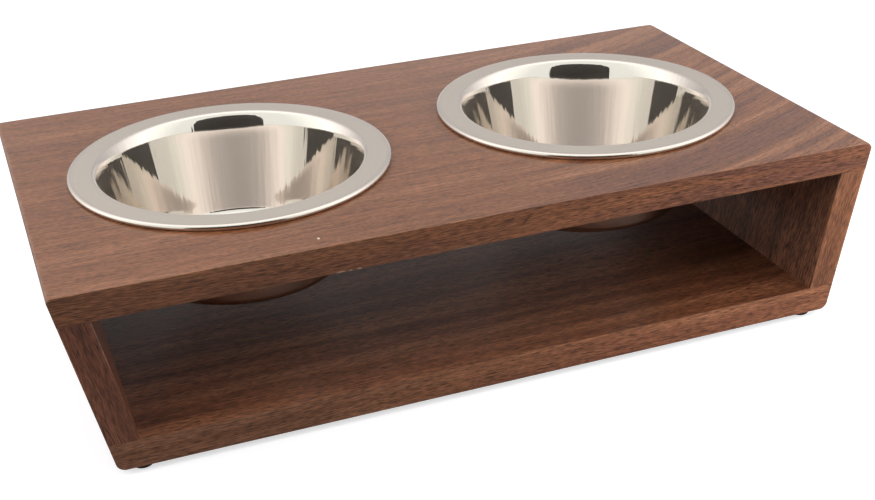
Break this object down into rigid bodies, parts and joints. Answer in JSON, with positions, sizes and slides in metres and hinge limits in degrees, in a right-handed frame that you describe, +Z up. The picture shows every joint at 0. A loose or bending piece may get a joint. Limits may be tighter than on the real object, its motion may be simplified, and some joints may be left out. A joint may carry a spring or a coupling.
{
  "type": "pet feeder stand",
  "caption": "Low raised dog feeder: an open wooden box with leaning ends on rubber feet, whose top board holds round stainless steel bowls that lift out.",
  "frame": {"origin": "on the floor under the middle of the stand", "axes": "+X along the stand's length to the right as seen from the front, +Y to the back, +Z up"},
  "size_m": [0.415, 0.23, 0.0983],
  "materials": {
    "walnut": "sanded and oiled, satin, reddish brown with fine ribbon grain",
    "stainless_steel": "mirror polished inside, satin flange, bright rolled rim",
    "rubber": "matt moulded bumper",
    "beech": "plain turned dowel"
  },
  "bodies": {
    "stand": {"top_board": "walnut", "bottom_board": "walnut", "left_end_board": "walnut", "right_end_board": "walnut", "front_left_foot": "rubber", "front_right_foot": "rubber", "rear_left_foot": "rubber", "rear_right_foot": "rubber", "top_left_front_dowel": "beech", "top_left_middle_dowel": "beech", "top_left_rear_dowel": "beech", "top_right_front_dowel": "beech", "top_right_middle_dowel": "beech", "top_right_rear_dowel": "beech", "bottom_left_front_dowel": "beech", "bottom_left_middle_dowel": "beech", "bottom_left_rear_dowel": "beech", "bottom_right_front_dowel": "beech", "bottom_right_middle_dowel": "beech", "bottom_right_rear_dowel": "beech"},
    "left_bowl": {"left_bowl": "stainless_steel"},
    "right_bowl": {"right_bowl": "stainless_steel"}
  },
  "joints": [
    {"name": "left_bowl_lift", "type": "slide", "parent": "stand", "child": "left_bowl", "axis": [0, 0, 1], "range_m": [0, 0.075]},
    {"name": "right_bowl_lift", "type": "slide", "parent": "stand", "child": "right_bowl", "axis": [0, 0, 1], "range_m": [0, 0.075]}
  ]
}
